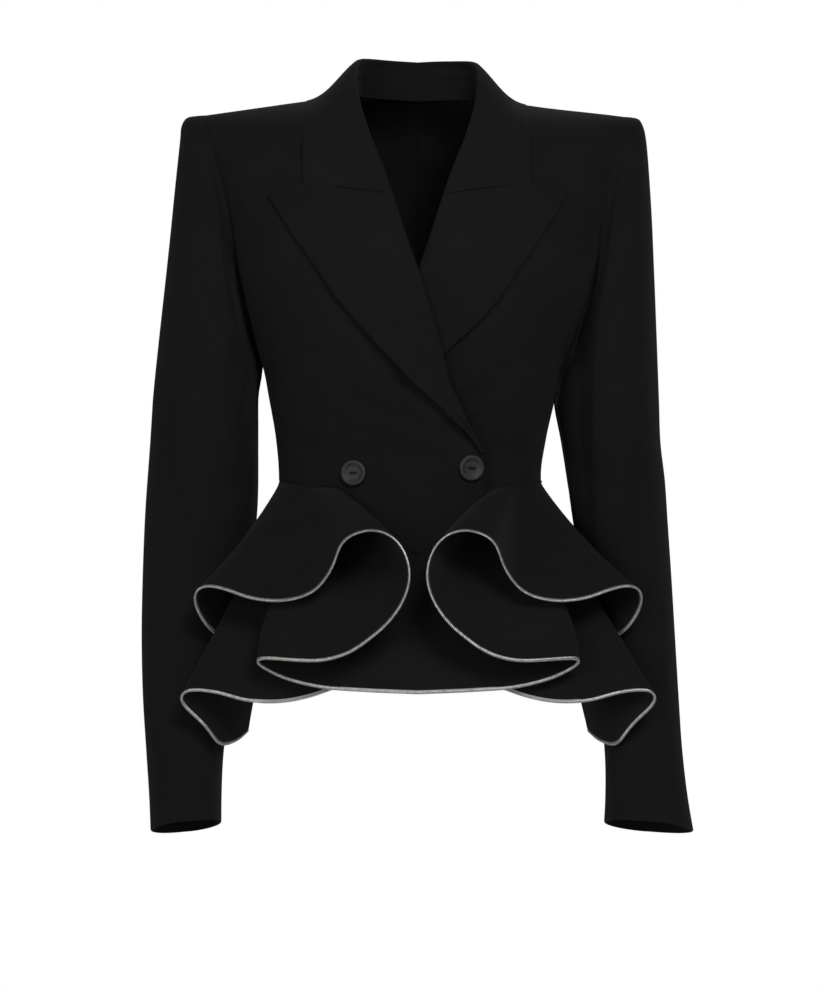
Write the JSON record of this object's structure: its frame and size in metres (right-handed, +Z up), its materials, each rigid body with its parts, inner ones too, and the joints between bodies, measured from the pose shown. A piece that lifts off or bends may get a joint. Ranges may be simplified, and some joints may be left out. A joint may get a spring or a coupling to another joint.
{
  "type": "peplum jacket",
  "caption": "Double-breasted crepe jacket with peak lapels and two tiers of flounces edged in metal trim at a pointed waist, hanging as worn",
  "frame": {"origin": "on the centre line between the shoulders, level with the shoulder seams, where the wearer's shoulders carry the jacket", "axes": "+Z up along the body, -Y out of the front, +X towards the wearer's left"},
  "size_m": [0.4972, 0.3602, 0.704],
  "materials": {
    "jacket_crepe": "matte black wool or triacetate crepe with a fine pebbled twist",
    "edge_trim": "narrow bead of silver metal trim along the flounce hems",
    "button_horn": "dark grey matte button with a thread bar"
  },
  "bodies": {
    "root": {"back_left": "jacket_crepe", "back_right": "jacket_crepe", "breast_welt": "jacket_crepe", "button_left": "button_horn", "button_right": "button_horn", "collar": "jacket_crepe", "collar_stand": "jacket_crepe", "front_left": "jacket_crepe", "front_right": "jacket_crepe", "lapel_left": "jacket_crepe", "lapel_right": "jacket_crepe", "lower_flounce_back_left": "jacket_crepe", "lower_flounce_back_right": "jacket_crepe", "lower_flounce_front_left": "jacket_crepe", "lower_flounce_front_right": "jacket_crepe", "lower_trim_back_left": "edge_trim", "lower_trim_back_right": "edge_trim", "lower_trim_front_left": "edge_trim", "lower_trim_front_right": "edge_trim", "sleeve_top_left": "jacket_crepe", "sleeve_top_right": "jacket_crepe", "sleeve_under_left": "jacket_crepe", "sleeve_under_right": "jacket_crepe", "upper_flounce_back_left": "jacket_crepe", "upper_flounce_back_right": "jacket_crepe", "upper_flounce_front": "jacket_crepe", "upper_trim_back_left": "edge_trim", "upper_trim_back_right": "edge_trim", "upper_trim_front": "edge_trim"}
  },
  "joints": []
}
